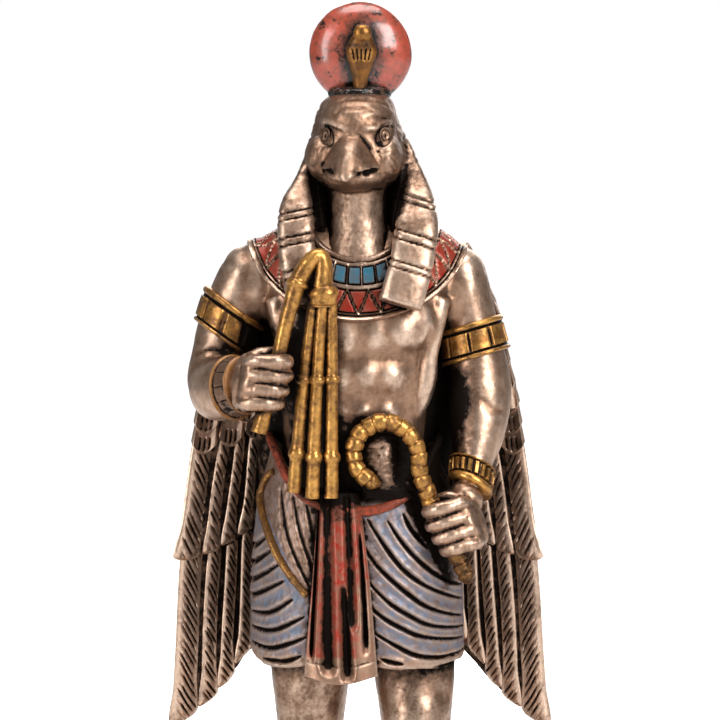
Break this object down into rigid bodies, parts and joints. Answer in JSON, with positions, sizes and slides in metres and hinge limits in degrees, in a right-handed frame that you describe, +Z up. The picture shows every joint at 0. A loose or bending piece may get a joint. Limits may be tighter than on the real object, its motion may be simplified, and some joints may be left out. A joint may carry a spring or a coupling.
{
  "type": "ra figurine",
  "caption": "Small cast figurine of a falcon-headed sun god with sun disc, folded wings, crook and flail, standing on a low rectangular base.",
  "frame": {"origin": "under the middle of the base, on the surface it stands on", "axes": "+Z up along the figure, -Y the way the figure looks, -X towards its own right hand with the flail, +X towards its left hand with the crook"},
  "size_m": [0.038, 0.028, 0.0888],
  "materials": {
    "figure": "cold cast resin, rubbed antique bronze with dark recesses and hand-painted red, gold, blue and grey-blue",
    "base": "the same resin, rubbed antique bronze"
  },
  "bodies": {
    "root": {"figure": "figure", "base": "base"}
  },
  "joints": []
}
